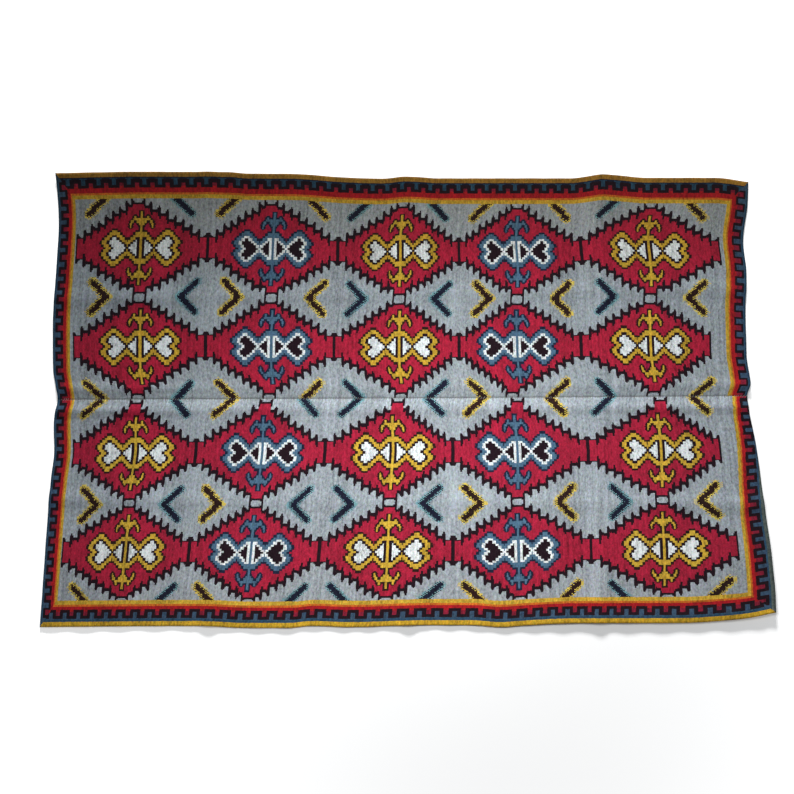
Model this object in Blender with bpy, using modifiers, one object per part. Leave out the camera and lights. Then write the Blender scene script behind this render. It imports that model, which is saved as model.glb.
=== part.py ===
"""Kilim rug: two loom-width panels of flat weave, sewn together side by side.

+X runs along the rug's length, +Y across it towards the upper panel, and +Z up. The origin is
on the floor under the middle of the rug. Each panel is one cloth: its underside is modelled as
an open surface and thickened upwards. The cloth lies on the floor, and leaves it only along the
soft ridges of its old storage folds, beside the seam, and where an edge has curled.
"""
from typing import NamedTuple

import bmesh
import bpy
import numpy as np

# ---------------------------------------------------------------- driving dimensions, in metres
CLOTH_THICKNESS = 0.003
SEAM_GAP = 0.0003
SEAM_FLAT = 0.011            # the flat strip that the stitches hold down on each side
SEAM_RIDGE = 0.030           # half the width of the ridge beside that strip
SEAM_PIN_REACH = 0.070       # how far from the seam its stitches hold a crossing fold down
SEAM_PIN_SHARE = 0.65        # the share of a crossing fold's height that they take away
COLUMN_PITCH = 0.064         # length of a plain grid cell along the rug
ROW_PITCH = 0.070            # width of a plain grid cell across the rug
FOLD_STEPS = (-1.0, -0.5, 0.0, 0.5, 1.0)   # extra grid lines on a ridge, in half-widths
CLOSEST_LINES = 0.008        # grid lines nearer than this to each other become one

CURL_REACH = 0.048           # how far in from its edge a curl begins to lift
SEAM_SHOULDER = SEAM_FLAT + SEAM_RIDGE     # from the seam line to the crest of the ridge beside it

# The weave's many dyes, seen from afar, blend into one colour for each panel.
UPPER_WOOL = (0.170, 0.075, 0.095, 1.0)
LOWER_WOOL = (0.210, 0.085, 0.105, 1.0)
WOOL_ROUGHNESS = 0.92


class EdgePoint(NamedTuple):
    """A point that a long edge of the cloth passes through."""
    along: float
    across: float


class EndPoint(NamedTuple):
    """A point that a short end of the cloth passes through."""
    across: float
    along: float


class Fold(NamedTuple):
    """A soft ridge along a straight line on the floor, with its crest heights."""
    start: tuple[float, float]
    end: tuple[float, float]
    height_start: float
    height_middle: float
    height_end: float
    half_width: float


UPPER_EDGE = (
    EdgePoint(along=-1.311, across=0.833),
    EdgePoint(along=-0.980, across=0.840),
    EdgePoint(along=-0.670, across=0.839),
    EdgePoint(along=-0.590, across=0.833),
    EdgePoint(along=-0.430, across=0.832),
    EdgePoint(along=-0.230, across=0.818),
    EdgePoint(along=-0.100, across=0.814),
    EdgePoint(along=0.010, across=0.821),
    EdgePoint(along=0.120, across=0.815),
    EdgePoint(along=0.600, across=0.815),
    EdgePoint(along=0.735, across=0.829),
    EdgePoint(along=0.900, across=0.817),
    EdgePoint(along=1.140, across=0.817),
    EdgePoint(along=1.270, across=0.801),
)

SEAM_LINE = (
    EdgePoint(along=-1.284, across=-0.013),
    EdgePoint(along=0.000, across=-0.007),
    EdgePoint(along=1.246, across=0.001),
)

LOWER_EDGE = (
    EdgePoint(along=-1.329, across=-0.837),
    EdgePoint(along=-0.750, across=-0.833),
    EdgePoint(along=-0.590, across=-0.840),
    EdgePoint(along=-0.430, across=-0.840),
    EdgePoint(along=-0.350, across=-0.833),
    EdgePoint(along=-0.210, across=-0.837),
    EdgePoint(along=0.060, across=-0.830),
    EdgePoint(along=0.230, across=-0.830),
    EdgePoint(along=0.330, across=-0.837),
    EdgePoint(along=0.440, across=-0.830),
    EdgePoint(along=0.600, across=-0.823),
    EdgePoint(along=0.980, across=-0.822),
    EdgePoint(along=1.200, across=-0.808),
    EdgePoint(along=1.329, across=-0.784),
)

LEFT_END = (
    EndPoint(across=-0.837, along=-1.329),
    EndPoint(across=-0.310, along=-1.302),
    EndPoint(across=-0.200, along=-1.292),
    EndPoint(across=-0.095, along=-1.296),
    EndPoint(across=-0.013, along=-1.284),
    EndPoint(across=0.100, along=-1.303),
    EndPoint(across=0.280, along=-1.308),
    EndPoint(across=0.440, along=-1.302),
    EndPoint(across=0.640, along=-1.295),
    EndPoint(across=0.833, along=-1.311),
)

RIGHT_END = (
    EndPoint(across=-0.784, along=1.329),
    EndPoint(across=-0.740, along=1.329),
    EndPoint(across=-0.575, along=1.319),
    EndPoint(across=-0.400, along=1.298),
    EndPoint(across=-0.180, along=1.274),
    EndPoint(across=0.001, along=1.246),
    EndPoint(across=0.050, along=1.258),
    EndPoint(across=0.160, along=1.247),
    EndPoint(across=0.300, along=1.247),
    EndPoint(across=0.460, along=1.254),
    EndPoint(across=0.575, along=1.245),
    EndPoint(across=0.710, along=1.264),
    EndPoint(across=0.801, along=1.270),
)

LENGTHWISE_FOLDS = (
    Fold((-1.310, 0.362), (1.250, 0.400), 0.0040, 0.0045, 0.0050, 0.046),
    Fold((-1.284, -0.013 + SEAM_SHOULDER), (1.246, 0.001 + SEAM_SHOULDER),
         0.0060, 0.0030, 0.0060, SEAM_RIDGE),
    Fold((-1.284, -0.013 - SEAM_SHOULDER), (1.246, 0.001 - SEAM_SHOULDER),
         0.0070, 0.0035, 0.0065, SEAM_RIDGE),
    Fold((-1.302, -0.375), (1.298, -0.396), 0.0065, 0.0040, 0.0080, 0.050),
)

CROSSWISE_FOLDS = (
    Fold((-0.745, 0.840), (-0.722, -0.834), 0.0065, 0.0045, 0.0050, 0.052),
    Fold((-0.020, 0.817), (0.004, -0.832), 0.0060, 0.0040, 0.0050, 0.048),
    Fold((0.722, 0.829), (0.698, -0.823), 0.0080, 0.0045, 0.0055, 0.052),
)

CURLED_EDGES = (
    Fold((0.230, -0.830), (1.329, -0.790), 0.0, 0.0050, 0.0070, CURL_REACH),
    Fold((-0.900, 0.840), (-1.311, 0.836), 0.0, 0.0030, 0.0060, CURL_REACH),
    Fold((1.270, -0.150), (1.330, -0.784), 0.0, 0.0035, 0.0070, CURL_REACH),
)


# ---------------------------------------------------------------- curves and relief
def smooth_through(knots, values, at):
    """Read a smooth curve through the knots, flat where they turn back, so it never overshoots."""
    knots, values = np.asarray(knots, float), np.asarray(values, float)
    span = np.diff(knots)
    slope = np.diff(values) / span
    tangent = np.zeros_like(values)
    same_way = slope[:-1] * slope[1:] > 0.0
    harmonic = 2.0 * slope[:-1] * slope[1:] / np.where(same_way, slope[:-1] + slope[1:], 1.0)
    tangent[1:-1] = np.where(same_way, harmonic, 0.0)
    tangent[0], tangent[-1] = slope[0], slope[-1]
    at = np.clip(at, knots[0], knots[-1])
    cell = np.clip(np.searchsorted(knots, at) - 1, 0, len(span) - 1)
    share = (at - knots[cell]) / span[cell]
    rest = 1.0 - share
    return (values[cell] * rest * rest * (1.0 + 2.0 * share)
            + values[cell + 1] * share * share * (3.0 - 2.0 * share)
            + span[cell] * share * rest * (tangent[cell] * rest - tangent[cell + 1] * share))


def edge_curve(points, share):
    """Places on a long edge, at the given shares of the way from its left corner."""
    along = points[0].along + (points[-1].along - points[0].along) * share
    across = smooth_through([p.along for p in points], [p.across for p in points], along)
    return np.stack([along, across], axis=-1)


def end_curve(points, lower_corner, upper_corner, share):
    """Places on a short end, at the given shares of the way up between two of its corners."""
    across = lower_corner[1] + (upper_corner[1] - lower_corner[1]) * share
    along = smooth_through([p.across for p in points], [p.along for p in points], across)
    return np.stack([along, across], axis=-1)


def cloth_plan(lower_edge, upper_edge, column_shares, row_shares):
    """Blend a panel's four edges into a grid of places on the floor, row by row (Coons patch)."""
    bottom = edge_curve(lower_edge, column_shares)[None, :, :]
    top = edge_curve(upper_edge, column_shares)[None, :, :]
    left = end_curve(LEFT_END, bottom[0, 0], top[0, 0], row_shares)[:, None, :]
    right = end_curve(RIGHT_END, bottom[0, -1], top[0, -1], row_shares)[:, None, :]
    u = column_shares[None, :, None]
    v = row_shares[:, None, None]
    corners = ((1 - u) * (1 - v) * bottom[:, :1] + u * (1 - v) * bottom[:, -1:]
               + (1 - u) * v * top[:, :1] + u * v * top[:, -1:])
    return (1 - v) * bottom + v * top + (1 - u) * left + u * right - corners


def ridge(fold, along, across):
    """Height of one fold: a squared-cosine ridge about its line, as tall as its crest there."""
    start, end = np.array(fold.start), np.array(fold.end)
    run = end - start
    length = np.hypot(*run)
    from_start = np.stack([along, across], axis=-1) - start
    share = np.clip(from_start @ run / length ** 2, 0.0, 1.0)
    aside = (from_start @ np.array([-run[1], run[0]])) / length
    crest = smooth_through([0.0, 0.5, 1.0],
                           [fold.height_start, fold.height_middle, fold.height_end], share)
    nearness = np.clip(np.abs(aside) / fold.half_width, 0.0, 1.0)
    return crest * np.cos(0.5 * np.pi * nearness) ** 2


def lift_off_floor(along, across):
    """Height of the cloth's underside: its ridges combined, with the seam pinned down."""
    seam = smooth_through([p.along for p in SEAM_LINE], [p.across for p in SEAM_LINE], along)
    off_seam = np.clip(np.abs(across - seam) / SEAM_PIN_REACH, 0.0, 1.0)
    pinned = 1.0 - SEAM_PIN_SHARE * np.cos(0.5 * np.pi * off_seam) ** 2
    squares = sum((ridge(fold, along, across) * pinned) ** 2 for fold in CROSSWISE_FOLDS)
    squares = squares + sum(ridge(fold, along, across) ** 2
                            for fold in LENGTHWISE_FOLDS + CURLED_EDGES)
    return np.sqrt(squares)


# ---------------------------------------------------------------- grid lines
def thin_out(lines):
    """Sort grid lines and drop those that crowd their neighbour, keeping both outer lines."""
    lines = np.sort(np.asarray(lines))
    kept = [lines[0]]
    for line in lines[1:-1]:
        if line - kept[-1] >= CLOSEST_LINES and lines[-1] - line >= CLOSEST_LINES:
            kept.append(line)
    return np.array(kept + [lines[-1]])


def grid_lines(low, high, pitch, ridges):
    """Grid lines from low to high, evenly spaced, with more of them on each (crest, half-width)."""
    fine = [crest + step * half_width for crest, half_width in ridges for step in FOLD_STEPS
            if low < crest + step * half_width < high]
    plain = [line for line in np.linspace(low, high, 1 + round((high - low) / pitch))[1:-1]
             if all(abs(line - crest) > half_width for crest, half_width in ridges)]
    return thin_out([low, high] + plain + fine)


def middle(fold, axis):
    """Where a fold's line crosses the middle of its run, on the given axis."""
    return 0.5 * (fold.start[axis] + fold.end[axis])


def column_shares():
    """Shares along the rug at which both panels have a grid line."""
    low, high = SEAM_LINE[0].along, SEAM_LINE[-1].along
    ridges = [(middle(fold, 0), fold.half_width) for fold in CROSSWISE_FOLDS]
    ridges += [(low, CURL_REACH), (high, CURL_REACH)]
    return (grid_lines(low, high, COLUMN_PITCH, ridges) - low) / (high - low)


def row_shares(lower_edge, upper_edge):
    """Shares across one panel, from its lower edge to its upper edge, with a grid line."""
    low, high = (float(np.mean([p.across for p in edge])) for edge in (lower_edge, upper_edge))
    ridges = [(middle(fold, 1), fold.half_width) for fold in LENGTHWISE_FOLDS
              if low < middle(fold, 1) < high]
    ridges += [(edge, CURL_REACH) for edge in (low, high) if abs(edge) > SEAM_SHOULDER]
    return (grid_lines(low, high, ROW_PITCH, ridges) - low) / (high - low)


# ---------------------------------------------------------------- building
def wool(name, colour):
    """A matt wool material."""
    material = bpy.data.materials.new(name)
    material.use_nodes = True
    shader = material.node_tree.nodes["Principled BSDF"]
    shader.inputs["Base Color"].default_value = colour
    shader.inputs["Roughness"].default_value = WOOL_ROUGHNESS
    shader.inputs["Metallic"].default_value = 0.0
    material.diffuse_color = colour
    return material


def shifted(edge, aside):
    """The same edge, moved across the rug."""
    return tuple(EdgePoint(p.along, p.across + aside) for p in edge)


def add_panel(name, lower_edge, upper_edge, material, collection):
    """One woven panel: a grid laid on its plan and lifted over its ridges, then thickened."""
    columns = column_shares()
    rows = row_shares(lower_edge, upper_edge)
    plan = cloth_plan(lower_edge, upper_edge, columns, rows).reshape(-1, 2)
    height = lift_off_floor(plan[:, 0], plan[:, 1])

    sheet = bmesh.new()
    bmesh.ops.create_grid(sheet, x_segments=len(columns) - 1, y_segments=len(rows) - 1, size=1.0)
    in_rows = sorted(sheet.verts, key=lambda vert: (round(vert.co.y, 4), round(vert.co.x, 4)))
    for vert, (along, across), lift in zip(in_rows, plan, height):
        vert.co = (along, across, lift)
    for face in sheet.faces:
        face.smooth = True
    mesh = bpy.data.meshes.new(name)
    sheet.to_mesh(mesh)
    sheet.free()
    mesh.materials.append(material)

    panel = bpy.data.objects.new(name, mesh)
    collection.objects.link(panel)
    thickness = panel.modifiers.new("cloth thickness", "SOLIDIFY")
    thickness.thickness = CLOTH_THICKNESS
    thickness.offset = 1.0
    return panel


def main():
    """Clear the scene and lay out the two panels."""
    for item in list(bpy.data.objects):
        bpy.data.objects.remove(item)
    rug = bpy.data.collections.new("kilim_rug")
    bpy.context.scene.collection.children.link(rug)
    half_gap = 0.5 * SEAM_GAP
    add_panel("upper_panel", shifted(SEAM_LINE, half_gap), UPPER_EDGE,
              wool("upper panel wool", UPPER_WOOL), rug)
    add_panel("lower_panel", LOWER_EDGE, shifted(SEAM_LINE, -half_gap),
              wool("lower panel wool", LOWER_WOOL), rug)


main()
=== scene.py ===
"""Kilim rug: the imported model's finished look, woven stitch by stitch from a weaver's chart.

The rug is two loom widths sewn together. Each panel's cloth is a grid of small faces laid on the
CAD's own plan, and every face carries the dyes of the eight stitches woven in it. +X runs along the
rug's length, which is also the way its warps run, and +Y across it towards the upper panel. Lengths
are in metres, and the chart's in ends: one end is one warp, about 3.65 mm.
"""
import logging
from dataclasses import dataclass, field
from enum import Enum
from math import radians
from typing import NamedTuple

import bpy
import numpy as np
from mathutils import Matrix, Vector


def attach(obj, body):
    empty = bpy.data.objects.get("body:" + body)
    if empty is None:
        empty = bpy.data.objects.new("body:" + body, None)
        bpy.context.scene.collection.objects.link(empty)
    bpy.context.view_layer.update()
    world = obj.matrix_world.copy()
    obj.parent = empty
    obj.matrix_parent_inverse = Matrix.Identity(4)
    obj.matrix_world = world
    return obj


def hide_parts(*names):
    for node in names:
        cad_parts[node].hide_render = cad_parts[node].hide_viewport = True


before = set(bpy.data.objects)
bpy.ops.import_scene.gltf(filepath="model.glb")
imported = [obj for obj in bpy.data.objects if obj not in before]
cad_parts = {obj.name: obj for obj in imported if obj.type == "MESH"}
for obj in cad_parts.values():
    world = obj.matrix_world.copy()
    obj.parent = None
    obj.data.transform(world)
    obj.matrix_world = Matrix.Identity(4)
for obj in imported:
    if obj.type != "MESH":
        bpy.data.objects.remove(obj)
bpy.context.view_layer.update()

LOG = logging.getLogger("kilim")

# ---------------------------------------------------------------- sizes, as in the CAD, in metres
CLOTH_THICKNESS = 0.003
SEAM_GAP = 0.0003
SEAM_FLAT = 0.011            # the flat strip that the stitches hold down on each side
SEAM_RIDGE = 0.030           # half the width of the ridge beside that strip
SEAM_PIN_REACH = 0.070       # how far from the seam its stitches hold a crossing fold down
SEAM_PIN_SHARE = 0.65        # the share of a crossing fold's height that they take away
CURL_REACH = 0.048           # how far in from its edge a curl begins to lift
SEAM_SHOULDER = SEAM_FLAT + SEAM_RIDGE

# The finer unevenness, which the CAD leaves to this script.
PUCKER_HEIGHT = 0.0016       # the gathers beside the seam
PUCKER_PITCH = 0.052
PUCKER_REACH = 0.024         # how far from the seam a gather is tallest
FRILL_HEIGHT = 0.0014        # the waviness of the outer edges
FRILL_PITCH = 0.110
FRILL_REACH = 0.055
SWELL_HEIGHT = 0.0007        # the cloth's general unevenness
SELVEDGE_BEAD = 0.0007       # how much thicker the outermost warps are
SELVEDGE_REACH = 0.006
STRAY = 0.00035              # how far a stitch strays from its place
RANDOM_SEED = 1911
MEAN_LENGTH = 2.53           # a panel's, for measuring how far a place is from its ends
MEAN_WIDTH = 0.83            # a panel's, for measuring how far a place is from its outer edge

# ---------------------------------------------------------------- the loom
ENDS_ALONG = 712             # the length of a panel, in ends
ENDS_ACROSS = 228            # the width of a panel, in warps
STITCHES_PER_END = 2         # stitches along, in the length of one end
FACE_STITCHES = 4            # stitches along in one face of the cloth
FACE_WARPS = 2               # warps across in one face of the cloth
FACES_ALONG = ENDS_ALONG * STITCHES_PER_END // FACE_STITCHES
FACES_ACROSS = ENDS_ACROSS // FACE_WARPS
WARP_LAYERS = ("low_warp", "high_warp")      # where a face's dyes are kept, warp by warp


class PlanPoint(NamedTuple):
    """A point on the floor that an edge of the cloth or the seam passes through."""
    along: float
    across: float


class Fold(NamedTuple):
    """A soft ridge along a straight line on the floor, with its crest heights."""
    start: tuple[float, float]
    end: tuple[float, float]
    height_start: float
    height_middle: float
    height_end: float
    half_width: float


class Drift(NamedTuple):
    """Where a warp-wise share of the seam comes out on the panel's outer edge."""
    seam_share: float
    edge_share: float


# The outline and the seam, from left to right, and its two ends, from the lower corner up.
UPPER_EDGE = (
    PlanPoint(-1.311, 0.833), PlanPoint(-0.980, 0.840), PlanPoint(-0.670, 0.839),
    PlanPoint(-0.590, 0.833), PlanPoint(-0.430, 0.832), PlanPoint(-0.230, 0.818),
    PlanPoint(-0.100, 0.814), PlanPoint(0.010, 0.821), PlanPoint(0.120, 0.815),
    PlanPoint(0.600, 0.815), PlanPoint(0.735, 0.829), PlanPoint(0.900, 0.817),
    PlanPoint(1.140, 0.817), PlanPoint(1.270, 0.801),
)

SEAM_LINE = (PlanPoint(-1.284, -0.013), PlanPoint(0.000, -0.007), PlanPoint(1.246, 0.001))

LOWER_EDGE = (
    PlanPoint(-1.329, -0.837), PlanPoint(-0.750, -0.833), PlanPoint(-0.590, -0.840),
    PlanPoint(-0.430, -0.840), PlanPoint(-0.350, -0.833), PlanPoint(-0.210, -0.837),
    PlanPoint(0.060, -0.830), PlanPoint(0.230, -0.830), PlanPoint(0.330, -0.837),
    PlanPoint(0.440, -0.830), PlanPoint(0.600, -0.823), PlanPoint(0.980, -0.822),
    PlanPoint(1.200, -0.808), PlanPoint(1.329, -0.784),
)

LEFT_END = (
    PlanPoint(-1.329, -0.837), PlanPoint(-1.302, -0.310), PlanPoint(-1.292, -0.200),
    PlanPoint(-1.296, -0.095), PlanPoint(-1.284, -0.013), PlanPoint(-1.303, 0.100),
    PlanPoint(-1.308, 0.280), PlanPoint(-1.302, 0.440), PlanPoint(-1.295, 0.640),
    PlanPoint(-1.311, 0.833),
)

RIGHT_END = (
    PlanPoint(1.329, -0.784), PlanPoint(1.329, -0.740), PlanPoint(1.319, -0.575),
    PlanPoint(1.298, -0.400), PlanPoint(1.274, -0.180), PlanPoint(1.246, 0.001),
    PlanPoint(1.258, 0.050), PlanPoint(1.247, 0.160), PlanPoint(1.247, 0.300),
    PlanPoint(1.254, 0.460), PlanPoint(1.245, 0.575), PlanPoint(1.264, 0.710),
    PlanPoint(1.270, 0.801),
)

SEAM_LEFT, SEAM_RIGHT = SEAM_LINE[0], SEAM_LINE[-1]
LENGTHWISE_FOLDS = (
    Fold((-1.310, 0.362), (1.250, 0.400), 0.0040, 0.0045, 0.0050, 0.046),
    Fold((SEAM_LEFT.along, SEAM_LEFT.across + SEAM_SHOULDER),
         (SEAM_RIGHT.along, SEAM_RIGHT.across + SEAM_SHOULDER), 0.0060, 0.0030, 0.0060, SEAM_RIDGE),
    Fold((SEAM_LEFT.along, SEAM_LEFT.across - SEAM_SHOULDER),
         (SEAM_RIGHT.along, SEAM_RIGHT.across - SEAM_SHOULDER), 0.0070, 0.0035, 0.0065, SEAM_RIDGE),
    Fold((-1.302, -0.375), (1.298, -0.396), 0.0065, 0.0040, 0.0080, 0.050),
)

CROSSWISE_FOLDS = (
    Fold((-0.745, 0.840), (-0.722, -0.834), 0.0065, 0.0045, 0.0050, 0.052),
    Fold((-0.020, 0.817), (0.004, -0.832), 0.0060, 0.0040, 0.0050, 0.048),
    Fold((0.722, 0.829), (0.698, -0.823), 0.0080, 0.0045, 0.0055, 0.052),
)

CURLED_EDGES = (
    Fold((0.230, -0.830), (1.329, -0.790), 0.0, 0.0050, 0.0070, CURL_REACH),
    Fold((-0.900, 0.840), (-1.311, 0.836), 0.0, 0.0030, 0.0060, CURL_REACH),
    Fold((1.270, -0.150), (1.330, -0.784), 0.0, 0.0035, 0.0070, CURL_REACH),
)

UPPER_DRIFT = (
    Drift(0.0, 0.0), Drift(0.1181, 0.1207), Drift(0.3072, 0.3173), Drift(0.4942, 0.5019),
    Drift(0.6674, 0.6652), Drift(0.8617, 0.8569), Drift(1.0, 1.0),
)

LOWER_DRIFT = (
    Drift(0.0, 0.0), Drift(0.1217, 0.1052), Drift(0.3042, 0.2769), Drift(0.4909, 0.4673),
    Drift(0.6641, 0.6532), Drift(0.8732, 0.8520), Drift(1.0, 1.0),
)


# ---------------------------------------------------------------- curves and relief
def smooth_through(knots: np.ndarray, values: np.ndarray, at: np.ndarray) -> np.ndarray:
    """Read a smooth curve through knots, flat where they turn back, so it never overshoots.

    Args:
        knots: the places where the curve is given, rising.
        values: the curve's value at each of them.
        at: the places to read it at.

    Returns:
        The curve's value at each place.
    """
    knots, values = np.asarray(knots, float), np.asarray(values, float)
    span = np.diff(knots)
    slope = np.diff(values) / span
    tangent = np.zeros_like(values)
    same_way = slope[:-1] * slope[1:] > 0.0
    harmonic = 2.0 * slope[:-1] * slope[1:] / np.where(same_way, slope[:-1] + slope[1:], 1.0)
    tangent[1:-1] = np.where(same_way, harmonic, 0.0)
    tangent[0], tangent[-1] = slope[0], slope[-1]
    at = np.clip(at, knots[0], knots[-1])
    cell = np.clip(np.searchsorted(knots, at) - 1, 0, len(span) - 1)
    share = (at - knots[cell]) / span[cell]
    rest = 1.0 - share
    return (values[cell] * rest * rest * (1.0 + 2.0 * share)
            + values[cell + 1] * share * share * (3.0 - 2.0 * share)
            + span[cell] * share * rest * (tangent[cell] * rest - tangent[cell + 1] * share))


def across_at(points: tuple[PlanPoint, ...], along: np.ndarray) -> np.ndarray:
    """Where a long edge or the seam runs, across the rug, at places along it."""
    return smooth_through([p.along for p in points], [p.across for p in points], along)


def edge_curve(points: tuple[PlanPoint, ...], share: np.ndarray) -> np.ndarray:
    """Places on a long edge.

    Args:
        points: the edge's own points.
        share: shares of the way from its left corner to its right one.

    Returns:
        One (along, across) pair for each share.
    """
    along = points[0].along + (points[-1].along - points[0].along) * share
    return np.stack([along, across_at(points, along)], axis=-1)


def end_curve(points: tuple[PlanPoint, ...], first: np.ndarray, last: np.ndarray,
              share: np.ndarray) -> np.ndarray:
    """Places on a short end.

    Args:
        points: the end's own points, from the rug's lower corner to its upper one.
        first: the (along, across) corner where share is 0.
        last: the corner where share is 1.
        share: shares of the way between those corners.

    Returns:
        One (along, across) pair for each share.
    """
    across = first[1] + (last[1] - first[1]) * share
    along = smooth_through([p.across for p in points], [p.along for p in points], across)
    return np.stack([along, across], axis=-1)


def ridge(fold: Fold, along: np.ndarray, across: np.ndarray) -> np.ndarray:
    """Height of one fold: a squared-cosine ridge about its line, as tall as its crest there.

    Args:
        fold: the fold.
        along: places along the rug.
        across: places across it.

    Returns:
        The fold's height at each place, which is 0 from half its width away.
    """
    start, end = np.array(fold.start), np.array(fold.end)
    run = end - start
    length = np.hypot(*run)
    from_start = np.stack([along, across], axis=-1) - start
    share = np.clip(from_start @ run / length ** 2, 0.0, 1.0)
    aside = (from_start @ np.array([-run[1], run[0]])) / length
    crest = smooth_through([0.0, 0.5, 1.0],
                           [fold.height_start, fold.height_middle, fold.height_end], share)
    nearness = np.clip(np.abs(aside) / fold.half_width, 0.0, 1.0)
    return crest * np.cos(0.5 * np.pi * nearness) ** 2


def lift_off_floor(along: np.ndarray, across: np.ndarray) -> np.ndarray:
    """Height of the cloth's underside: the root of its ridges' summed squares.

    A ridge that crosses the seam is lower there, because the stitches pin it down.

    Args:
        along: places along the rug.
        across: places across it.

    Returns:
        The height at each place.
    """
    off_seam = np.clip(np.abs(across - across_at(SEAM_LINE, along)) / SEAM_PIN_REACH, 0.0, 1.0)
    pinned = 1.0 - SEAM_PIN_SHARE * np.cos(0.5 * np.pi * off_seam) ** 2
    squares = sum((ridge(fold, along, across) * pinned) ** 2 for fold in CROSSWISE_FOLDS)
    squares = squares + sum(ridge(fold, along, across) ** 2
                            for fold in LENGTHWISE_FOLDS + CURLED_EDGES)
    return np.sqrt(squares)


def fine_relief(along: np.ndarray, across: np.ndarray, from_edge: np.ndarray) -> np.ndarray:
    """The cloth's small unevenness, which never goes below the floor.

    Three squared sine waves are added: gathers along the seam, which rise to their full height one
    reach away from it and then die out; a frill along the outer edges, which dies out inwards; and
    a slow swell everywhere.

    Args:
        along: places along the rug.
        across: places across it.
        from_edge: how far each place is from the panel's outer edges.

    Returns:
        The extra height at each place.
    """
    off_seam = np.abs(across - across_at(SEAM_LINE, along)) / PUCKER_REACH
    gather = np.sin(np.pi * along / PUCKER_PITCH + 1.7 * np.sin(5.3 * along)) ** 2
    puckers = PUCKER_HEIGHT * gather * off_seam * np.exp(1.0 - off_seam)
    wave = np.sin(np.pi * (along + 0.8 * across) / FRILL_PITCH + 1.3 * np.sin(3.1 * along)) ** 2
    frill = FRILL_HEIGHT * wave * np.exp(-from_edge / FRILL_REACH)
    swell = np.sin(9.1 * along + 4.3 * across) * np.sin(7.7 * across - 3.9 * along)
    return puckers + frill + SWELL_HEIGHT * swell ** 2


# ---------------------------------------------------------------- the weaver's chart
class Dye(Enum):
    """The dyed wools, by their place in the colour ramp."""
    GREY = 0
    CRIMSON = 1
    BLACK = 2
    GOLD = 3
    WHITE = 4
    SLATE = 5
    NAVY = 6
    TEAL = 7
    BROWN = 8
    BORDER_BLUE = 9
    OLD_GOLD = 10
    ORANGE = 11
    BORDER_RED = 12
    OLIVE = 13
    MAGENTA = 14
    INK = 15
    WINE = 16
    DENIM = 17
    STRAW = 18


DYES_IN_RAMP = len(Dye)


class MedallionRow(NamedTuple):
    """One row of medallions, in ends: across from the seam, and along from the left end."""
    middle: float
    inner_cap: float
    inner_tip: float
    outer_tip: float
    outer_cap: float
    bars: tuple[float, ...]
    hearts: tuple[float, ...]
    tips: tuple[float, ...]


class ChevronRow(NamedTuple):
    """One row of chevrons, in ends. Each opens away from the way it faces, right then left."""
    across: float
    arms: tuple[int, ...]
    along: tuple[float, ...]


class BorderSide(NamedTuple):
    """One side's border: how far in each band ends, in ends, and the battlement line's size."""
    hem: float
    crest: float
    trough: float
    red: float
    gold: float
    line: float
    pitch: float
    hem_dye: Dye
    band_dye: Dye = Dye.BORDER_BLUE
    tooth_dye: Dye = Dye.DENIM
    tuck: float = 0.0


UPPER_ROWS = (
    MedallionRow(middle=52.4, inner_cap=3.8, inner_tip=4.4, outer_tip=99.2, outer_cap=96.6,
                 bars=(20.3, 155.9, 287.0, 416.7, 543.3, 676.4),
                 hearts=(89.0, 222.5, 354.2, 477.1, 614.7),
                 tips=(83.0, 218.2, 354.2, 469.1, 615.0)),
    MedallionRow(middle=151.0, inner_cap=105.3, inner_tip=107.0, outer_tip=198.2, outer_cap=197.4,
                 bars=(18.5, 152.5, 285.9, 415.0, 545.1, 688.1),
                 hearts=(84.6, 218.2, 351.7, 477.2, 615.8),
                 tips=(81.3, 214.2, 351.7, 476.0, 615.8)),
)

LOWER_ROWS = (
    MedallionRow(middle=54.6, inner_cap=2.6, inner_tip=3.4, outer_tip=100.8, outer_cap=102.1,
                 bars=(19.5, 147.9, 279.1, 407.4, 544.3, 677.9),
                 hearts=(85.1, 215.9, 347.7, 471.7, 619.2),
                 tips=(81.9, 215.9, 351.9, 474.9, 622.2)),
    MedallionRow(middle=154.2, inner_cap=108.4, inner_tip=108.0, outer_tip=200.6, outer_cap=200.2,
                 bars=(18.0, 152.8, 282.1, 408.9, 544.5, 685.2),
                 hearts=(86.7, 215.3, 347.9, 470.5, 618.6),
                 tips=(87.7, 217.3, 348.9, 471.5, 621.5)),
)

UPPER_CHEVRONS = (
    ChevronRow(across=0.5, arms=(1,), along=(40.4, 129.2, 175.6, 261.4, 305.8,
                                             390.6, 434.0, 515.7, 565.3, 663.5)),
    ChevronRow(across=102.0, arms=(-1, 1), along=(46.5, 134.8, 180.2, 265.1, 308.6,
                                                  395.8, 441.5, 522.2, 571.0, 661.0)),
    ChevronRow(across=201.0, arms=(-1,), along=(39.8, 125.7, 171.5, 262.4, 306.3,
                                                389.8, 437.0, 520.6, 572.3, 660.9)),
)

LOWER_CHEVRONS = (
    ChevronRow(across=0.5, arms=(1,), along=(38.6, 127.6, 174.1, 259.9, 304.3,
                                             389.0, 432.3, 513.8, 563.5, 661.5)),
    ChevronRow(across=106.4, arms=(-1, 1), along=(45.0, 128.5, 171.9, 259.0, 303.5,
                                                  386.2, 428.3, 518.9, 577.0, 661.3)),
    ChevronRow(across=203.5, arms=(-1,), along=(41.6, 132.6, 173.5, 262.4, 304.5,
                                                389.1, 428.7, 522.0, 574.4, 667.0)),
)

UPPER_STRAW_CHEVRONS = (0, 2, 3, 6, 7, 9)   # columns whose halo is straw; the others' is teal
LOWER_STRAW_CHEVRONS = (0, 2, 6, 7, 9)

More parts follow.
